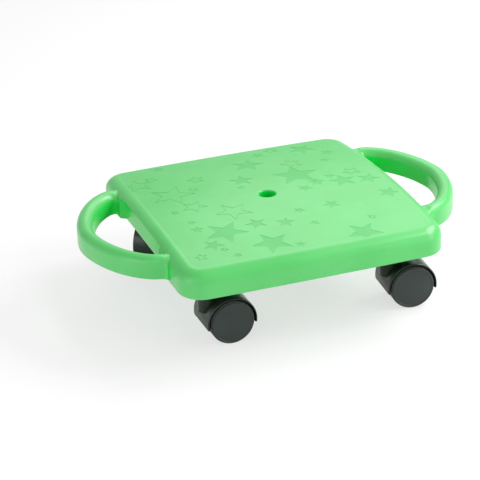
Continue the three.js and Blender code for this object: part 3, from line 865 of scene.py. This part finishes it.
def plastic(material, light, dark, dust, gloss, grain, marks, specular=0.5, painted_shade_and_reflection=None):
    tree = clear_tree(material)
    surface = add_node(tree, "ShaderNodeBsdfPrincipled")
    surface.inputs["Specular IOR Level"].default_value = specular
    place = add_node(tree, "ShaderNodeTexCoord").outputs["Object"]
    pigment = noise_node(tree, place, pigment_scale)
    handled = use_group(tree, marks_tree, Dust=marks[0], Rub=marks[1])
    skin = use_group(tree, grain_tree, Scale=grain[0], Depth=grain[1])
    colour = blend(tree, between(tree, pigment, 0.3, 0.7), dark, light)
    # Painted shade: where the occlusion test finds a hollow, the colour is blended towards the given
    # deeper colour, darkest deep inside, and specular and coat are cut there; faces that look up keep
    # the plain colour.
    if painted_shade_and_reflection:
        nook = add_node(tree, "ShaderNodeAmbientOcclusion", samples=8)
        nook.inputs["Distance"].default_value = nook_reach
        facing = add_node(tree, "ShaderNodeSeparateXYZ")
        wire(tree, add_node(tree, "ShaderNodeNewGeometry").outputs["Normal"], facing.inputs[0])
        facing_up = between(tree, facing.outputs["Z"], 0.1, 0.5)
        uncovered = between(tree, nook.outputs["AO"], 0.45, 0.92)
        open_share = number_node(tree, "MAXIMUM", uncovered, facing_up)
        shade = between(tree, nook.outputs["AO"], 0.05, 0.4)
        painted_deep_shade = blend(tree, shade, [part * painted_shade_dark_share for part in painted_shade_and_reflection], painted_shade_and_reflection)
        colour = blend(tree, open_share, painted_deep_shade, colour)
        for key, value in (("Specular IOR Level", specular), ("Coat Weight", coat_weight)):
            wire(tree, number_node(tree, "MULTIPLY", open_share, value), surface.inputs[key])
        surface.inputs["Coat Roughness"].default_value = coat_roughness
    colour = blend(tree, handled.outputs["Dust"], colour, dust)
    rough = number_node(tree, "MULTIPLY", skin.outputs["Grain"], grain_roughness)
    rough = number_node(tree, "ADD", rough, gloss - grain_roughness / 2)
    for key, share in (("Dust", dust_roughness), ("Rub", rub_roughness)):
        added = number_node(tree, "MULTIPLY", handled.outputs[key], share)
        rough = number_node(tree, "ADD", rough, added)
    close_surface(tree, surface, colour, rough, skin.outputs["Normal"])


# Both greens get painted shade in their hollows: a deeper, saturated green where the occlusion test
# finds them closed in.
plastic(deck_green, light=(0.09, 0.585, 0.134), dark=(0.078, 0.55, 0.118), dust=(0.42, 0.6, 0.4),
        gloss=0.34, grain=(1500, 0.16), marks=(0.12, 0.5), painted_shade_and_reflection=(0, 0.74, 0.075))
plastic(star_green, light=(0.066, 0.53, 0.114), dark=(0.058, 0.5, 0.102), dust=(0.3, 0.5, 0.3),
        gloss=0.44, grain=(900, 0.3), marks=(0.15, 0.2), specular=0.45, painted_shade_and_reflection=(0.045, 0.5, 0.09))


def finish_piece(piece, body, nodes, material=None, angle=32):
    mesh = piece.data
    if material:
        mesh.materials.clear()
        mesh.materials.append(material)
        mesh.polygons.foreach_set("material_index", [0] * len(mesh.polygons))
    mesh.shade_smooth()
    mesh.set_sharp_from_angle(angle=math.radians(angle))
    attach(piece, body)
    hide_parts(*nodes)


finish_piece(deck, "board", ["deck"])

# Mounting plates: pressed from 2.5 mm zinc plated steel, corners rounded and edges broken, with
# four screw holes and a bore for the riveted king pin. Each is screwed up into a pad of the deck.
zinc = bpy.data.materials.new("zinc_plate")
zinc_tree = clear_tree(zinc)
zinc_surface = add_node(zinc_tree, "ShaderNodeBsdfPrincipled")
zinc_surface.inputs["Metallic"].default_value = 0.92
zinc_place = add_node(zinc_tree, "ShaderNodeTexCoord").outputs["Object"]
zinc_bloom = between(zinc_tree, noise_node(zinc_tree, zinc_place, 130.0, detail=4.0), 0.35, 0.7)
zinc_streak = noise_node(zinc_tree, zinc_place, 700.0, detail=2.0, stretch=(1, 9, 1))
zinc_marks = use_group(zinc_tree, marks_tree, Dust=0.35, Rub=0.4)
zinc_skin = use_group(zinc_tree, grain_tree, Scale=2200, Depth=0.12)
zinc_colour = blend(zinc_tree, zinc_bloom, (0.44, 0.46, 0.48), (0.56, 0.57, 0.58))
zinc_colour = blend(zinc_tree, zinc_marks.outputs["Dust"], zinc_colour, (0.3, 0.28, 0.25))
zinc_rough = number_node(
    zinc_tree, "ADD", number_node(zinc_tree, "MULTIPLY", zinc_streak, 0.2), 0.22)
close_surface(zinc_tree, zinc_surface, zinc_colour, zinc_rough, zinc_skin.outputs["Normal"])

plate_half = 21.0
plate_corner = 5.0
plate_bottom = 60.0
plate_top = 62.5
plate_breaks = [(0.35, 0), (0.1, 0.1), (0, 0.35)]
plate_cut_low = 50
plate_cut_high = 70
pin_bore_radius = 4.3
plate_hole_radius = 2.7


def plate_ring(inset, height):
    reach = plate_half - plate_corner
    ring = []
    for quarter, (sx, sy) in enumerate(quarter_signs):
        for turn in (quarter + np.linspace(0, 1, 9)) * math.pi / 2:
            ring.append((sx * reach + (plate_corner - inset) * math.cos(turn),
                         sy * reach + (plate_corner - inset) * math.sin(turn), height))
    return np.array(ring)


def shift(x, y, z=0):
    return Matrix.Translation((x / mm_in_metre, y / mm_in_metre, z / mm_in_metre))


plate_rings = [plate_ring(inset, plate_bottom + rise) for inset, rise in plate_breaks]
plate_rings += [plate_ring(inset, plate_top - fall) for inset, fall in plate_breaks[::-1]]
plate = skin_over("plate", plate_rings)
combine(plate, rod("pin_bore", pin_bore_radius, plate_cut_low, plate_cut_high, 48), "DIFFERENCE")
plate_hole = rod("plate_hole", plate_hole_radius, plate_cut_low, plate_cut_high, 32)
combine(plate, repeat_piece("plate_holes", plate_hole, corner_spots, zinc), "DIFFERENCE")
for corner, spot in caster_spots.items():
    plate_copy = copy_piece(plate, f"{corner}_plate", shift(*spot))
    finish_piece(plate_copy, "board", [f"{corner}_mounting_plate"], zinc)
drop_piece(plate)

# Plate screws: sixteen zinc plated pan heads with a cross recess, driven up into the bosses of
# the pads, so each head stands below its plate and no two recesses line up.
seat = plate_bottom - 0.3
head_flat = 2.9
head_round = 1.7
head_crown = 1.6
head_side = 1.0
head_low = seat - 2.6
shank_radius = 2.4
thread_depth = 0.35
thread_pitch = 1.4
thread_turns = 11
shank_end = seat + 16.6
tip_radius = 0.8
tip_end = seat + 18
slot_reach = 2.5
slot_half = 0.45
slot_high = seat - 1.2
slot_low = seat - 3
screw_profile = [(0, head_low), (head_flat, head_low)]
for turn in quarter_turns(6)[1:]:
    screw_profile.append(
        (head_flat + head_round * math.sin(turn), seat - head_side - head_crown * math.cos(turn)))
screw_profile += [(head_flat + head_round, seat), (shank_radius, seat)]
for k in range(thread_turns):
    start = seat + thread_pitch * k
    screw_profile += [
        (shank_radius, start + 0.8),
        (shank_radius - thread_depth, start + 1.3),
        (shank_radius, start + 1.5)]
screw_profile += [(shank_radius, shank_end), (tip_radius, tip_end), (0, tip_end)]
screw = lathe("screw", screw_profile, 24)
for name, x, y in (("slot_x", slot_reach, slot_half), ("slot_y", slot_half, slot_reach)):
    combine(screw, block(name, (-x, -y, slot_low), (x, y, slot_high)), "DIFFERENCE")
screw_spots = []
screw_nodes = []
for k, (corner, (x, y)) in enumerate(caster_spots.items()):
    for j, (dx, dy, z, turn) in enumerate(corner_spots):
        screw_spots.append((x + dx, y + dy, 0, 0.7 * j + 1.9 * k))
        screw_nodes.append(f"{corner}_plate_screw_{j + 1}")
finish_piece(repeat_piece("plate_screws", screw, screw_spots, zinc), "board", screw_nodes, zinc)

# King pins, washers and retainers: the riveted steel pin that each caster swivels on, the nylon
# washer it turns against, and the ring in the pin's groove that holds the hood up.
nylon = bpy.data.materials.new("washer_nylon")
plastic(nylon, light=(0.79, 0.77, 0.71), dark=(0.74, 0.715, 0.65), dust=(0.4, 0.36, 0.3),
        gloss=0.46, grain=(1800, 0.1), marks=(0.5, 0.3))
pin_radius = 4
pin_low = 29.8
pin_break = 0.4
groove_radius = 3.2
groove_low = 32.1
groove_high = 34
rivet_low = 62.8
rivet_foot = 6.7
rivet_flat = 3.4
rivet_round = 3.6
rivet_crown = 2.8
rivet_side = 0.4
pin_profile = [
    (0, pin_low), (pin_radius - pin_break, pin_low), (pin_radius, pin_low + pin_break),
    (pin_radius, groove_low), (groove_radius, groove_low),
    (groove_radius, groove_high), (pin_radius, groove_high),
    (pin_radius, rivet_low), (rivet_foot, rivet_low)]
for turn in quarter_turns(9):
    pin_profile.append((rivet_flat + rivet_round * math.cos(turn),
                        rivet_low + rivet_side + rivet_crown * math.sin(turn)))
pin_profile.append((0, rivet_low + rivet_side + rivet_crown))
washer_profile = [
    (4.3, 58.1), (4.6, 57.8), (11.2, 57.8), (11.5, 58.1),
    (11.5, 59.4), (11.2, 59.7), (4.6, 59.7), (4.3, 59.4)]
retainer_profile = [(3.5, 32.4), (6.1, 32.4), (6.3, 32.6), (6.3, 33.5), (6.1, 33.7), (3.5, 33.7)]
pivot_pieces = [
    ("pin", "king_pin", lathe("king_pin", pin_profile, 48), zinc),
    ("washer", "bearing_washer", lathe("washer", washer_profile, 64), nylon),
    ("ring", "pin_retainer", lathe("retainer", retainer_profile, 48), zinc),
]
for corner, spot in caster_spots.items():
    for name, node, piece, material in pivot_pieces:
        piece_copy = copy_piece(piece, f"{corner}_{name}", shift(*spot))
        finish_piece(piece_copy, "board", [f"{corner}_{node}"], material)
for name, node, piece, material in pivot_pieces:
    drop_piece(piece)

# Hoods: black nylon mouldings, two half-round wheel covers on one middle web, with a neck that
# the king pin passes through and a hub for the axle. The mould leaves their lips rounded.
hood_black = bpy.data.materials.new("hood_black")
# The hood is black. Its hollows are painted a faint green, a painted reflection of the green deck above
# them.
plastic(hood_black, light=(0.012, 0.02, 0.013), dark=(0.007, 0.013, 0.008), dust=(0.16, 0.16, 0.14),
        gloss=0.3, grain=(1500, 0.2), marks=(0.1, 0.5), specular=0.45, painted_shade_and_reflection=(0.005, 0.02, 0.007))
swings = {"front_left": 0.7, "front_right": -5.2, "back_left": 50.0, "back_right": -20.0}
trail = 19.0
wheel_radius = 25.0
hood_inner = 26.4
hood_outer = 28.2
hood_half = 23.25
hood_lip = 1.1
hood_points = 61
front_drop = 9.5
back_drop = 10.5
well_drop = 20
web_half = 5.0
neck_radius = 12
neck_low = 35
neck_high = 57.5
neck_round = 0.8
hub_radius = 7.0
hub_half = 7.4
stem_boss_radius = 6.8
stem_boss_high = 56.5
pocket_radius = 7.1
pocket_high = 34
axle_bore_radius = 3.3
axle_bore_half = 23
on_axle = shift(trail, 0, wheel_radius) @ Matrix.Rotation(math.pi / 2, 4, "X")


def hood_ring(radius, y, extra_drop=0, shrink=0):
    ends = []
    for drop in (front_drop + extra_drop, back_drop + extra_drop):
        low = radius * math.sin(math.radians(drop)) - shrink
        ends.append(math.asin(low / (radius - shrink)))
    turn = np.linspace(-ends[0], math.pi + ends[1], hood_points)
    across = trail + (radius - shrink) * np.cos(turn)
    up = wheel_radius + (radius - shrink) * np.sin(turn)
    return np.stack([across, np.full(hood_points, y), up], 1)


hood_rings = []
for turn in quarter_turns(6):
    y = -hood_half + hood_lip * (1 - math.cos(turn))
    hood_rings.append(hood_ring(hood_outer, y, shrink=hood_lip * (1 - math.sin(turn))))
hood_rings += [ring * (1, -1, 1) for ring in hood_rings[::-1]]
hood = skin_over("hood", hood_rings)
neck_profile = [(0, neck_low), (neck_radius, neck_low), (neck_radius, neck_high - neck_round)]
for turn in quarter_turns(5)[1:]:
    neck_profile.append((neck_radius - neck_round + neck_round * math.cos(turn),
                         neck_high - neck_round + neck_round * math.sin(turn)))
neck_profile.append((0, neck_high))
combine(hood, lathe("neck", neck_profile, 64), "UNION")
for side in (1, -1):
    combine(hood, skin_over("well", [
        hood_ring(hood_inner + flare, side * y, well_drop, shrink)
        for y, flare, shrink in (
            (web_half, 0, 1.5), (web_half + 0.4, 0, 0.5), (web_half + 1.5, 0, 0),
            (hood_half - 0.6, 0, 0), (hood_half + 0.1, 0.5, 0), (hood_half + 1, 0.6, 0))
    ]), "DIFFERENCE")
combine(hood, rod("stem_boss", stem_boss_radius, pocket_high, stem_boss_high, 48), "UNION")
hub = rod("hub", hub_radius, -hub_half, hub_half, 48)
hub.data.transform(on_axle)
combine(hood, hub, "UNION")
combine(hood, rod("pocket", pocket_radius, -overrun, pocket_high, 48), "DIFFERENCE")
bore = rod("axle_bore", axle_bore_radius, -axle_bore_half, axle_bore_half, 40)
bore.data.transform(on_axle)
combine(hood, bore, "DIFFERENCE")
combine(hood, rod("stem_bore", pin_bore_radius, -overrun, plate_bottom, 40), "DIFFERENCE")
corner_places = {}
for corner, spot in caster_spots.items():
    corner_places[corner] = shift(*spot) @ Matrix.Rotation(math.radians(swings[corner]), 4, "Z")
    cover = copy_piece(hood, f"{corner}_cover", corner_places[corner])
    finish_piece(cover, f"{corner}_caster", [f"{corner}_hood"], hood_black, 40)
drop_piece(hood)

# Axles: plain zinc plated steel pins with bevelled ends, pressed through the hub of each hood and
# hidden in the blind bores of the two wheels.
axle_radius = 3
axle_half = 18
axle_break = 0.4
axle = lathe("axle", [
    (0, -axle_half), (axle_radius - axle_break, -axle_half), (axle_radius, axle_break - axle_half),
    (axle_radius, axle_half - axle_break), (axle_radius - axle_break, axle_half), (0, axle_half)], 40)
axle.data.transform(on_axle)
for corner, place in corner_places.items():
    axle_copy = copy_piece(axle, f"{corner}_axle_pin", place)
    finish_piece(axle_copy, f"{corner}_caster", [f"{corner}_axle"], zinc)
drop_piece(axle)

# Wheels: dark grey moulded cores, dished behind with spokes, and in front a shallow dome inside
# a thin raised rim that catches the light. A softer tread is moulded round each core.
wheel_grey = bpy.data.materials.new("wheel_grey")
plastic(wheel_grey, light=(0.03, 0.042, 0.038), dark=(0.023, 0.033, 0.029), dust=(0.16, 0.16, 0.14),
        gloss=0.32, grain=(1300, 0.14), marks=(0.12, 0.6), specular=0.36)
tread_grey = bpy.data.materials.new("tread_grey")
plastic(tread_grey, light=(0.026, 0.033, 0.03), dark=(0.018, 0.024, 0.021), dust=(0.15, 0.14, 0.125),
        gloss=0.6, grain=(1000, 0.4), marks=(0.7, 0.5))
blind_bore_end = 18.3
hub_outline = [(3.3, 8.1), (3.7, 7.7), (5.9, 7.7), (6.3, 8.1), (6.3, 21.9)]
dish_outline = [(19.5, 21.9), (19.5, 9), (19.8, 8.7), (21.6, 8.7), (21.9, 9), (21.9, 23.35)]
rim_outline = [(23.2, 23.35), (23.5, 23.5), (23.6, 23.8), (23.5, 24.2), (23.1, 24.5),
               (22.6, 24.6), (22.1, 24.5), (21.7, 24.2)]
dome_radius = 21.5
dome_edge = 24.1
dome_rise = 1.4
dome_power = 2.2
dome_outline = [(dome_radius * share, dome_edge + dome_rise * (1 - share ** dome_power))
                for share in np.linspace(1, 0, 14)]
bore_outline = [(0, blind_bore_end), (axle_bore_radius, blind_bore_end)]
core = lathe("wheel_core", hub_outline + dish_outline + rim_outline + dome_outline + bore_outline, 96)
spoke = block("spoke", (5.4, -0.9, 9.7), (20.6, 0.9, 22.6))
spoke_spots = [(0, 0, 0, k * math.pi / 2) for k in range(4)]
combine(core, repeat_piece("spokes", spoke, spoke_spots, wheel_grey), "UNION")
tread_shoulder = 21.7
tread_round = 1.6
tread_outline = [(22.2, 9), (22.5, 8.7), (24.2, 8.7), (24.6, 8.8), (24.9, 9.1), (wheel_radius, 9.5),
                 (wheel_radius, 15.1), (24.75, 15.35), (24.75, 15.75), (wheel_radius, 16),
                 (wheel_radius, tread_shoulder)]
for turn in quarter_turns(6)[1:]:
    tread_outline.append((wheel_radius - tread_round + tread_round * math.cos(turn),
                          tread_shoulder + tread_round * math.sin(turn)))
tread_outline += [(22.5, 23.3), (22.2, 23)]
tread = lathe("tread", tread_outline, 128)
for corner, place in corner_places.items():
    for side, flip in (("outer", Matrix.Identity(4)), ("inner", Matrix.Rotation(math.pi, 4, "X"))):
        roller = f"{corner}_{side}_roller"
        there = place @ on_axle @ flip
        disc = copy_piece(core, f"{corner}_{side}_disc", there)
        tyre = copy_piece(tread, f"{corner}_{side}_tyre", there)
        finish_piece(disc, roller, [f"{corner}_{side}_wheel"], wheel_grey)
        finish_piece(tyre, roller, [f"{corner}_{side}_tread"], tread_grey)
drop_piece(core)
drop_piece(tread)

bpy.context.view_layer.update()
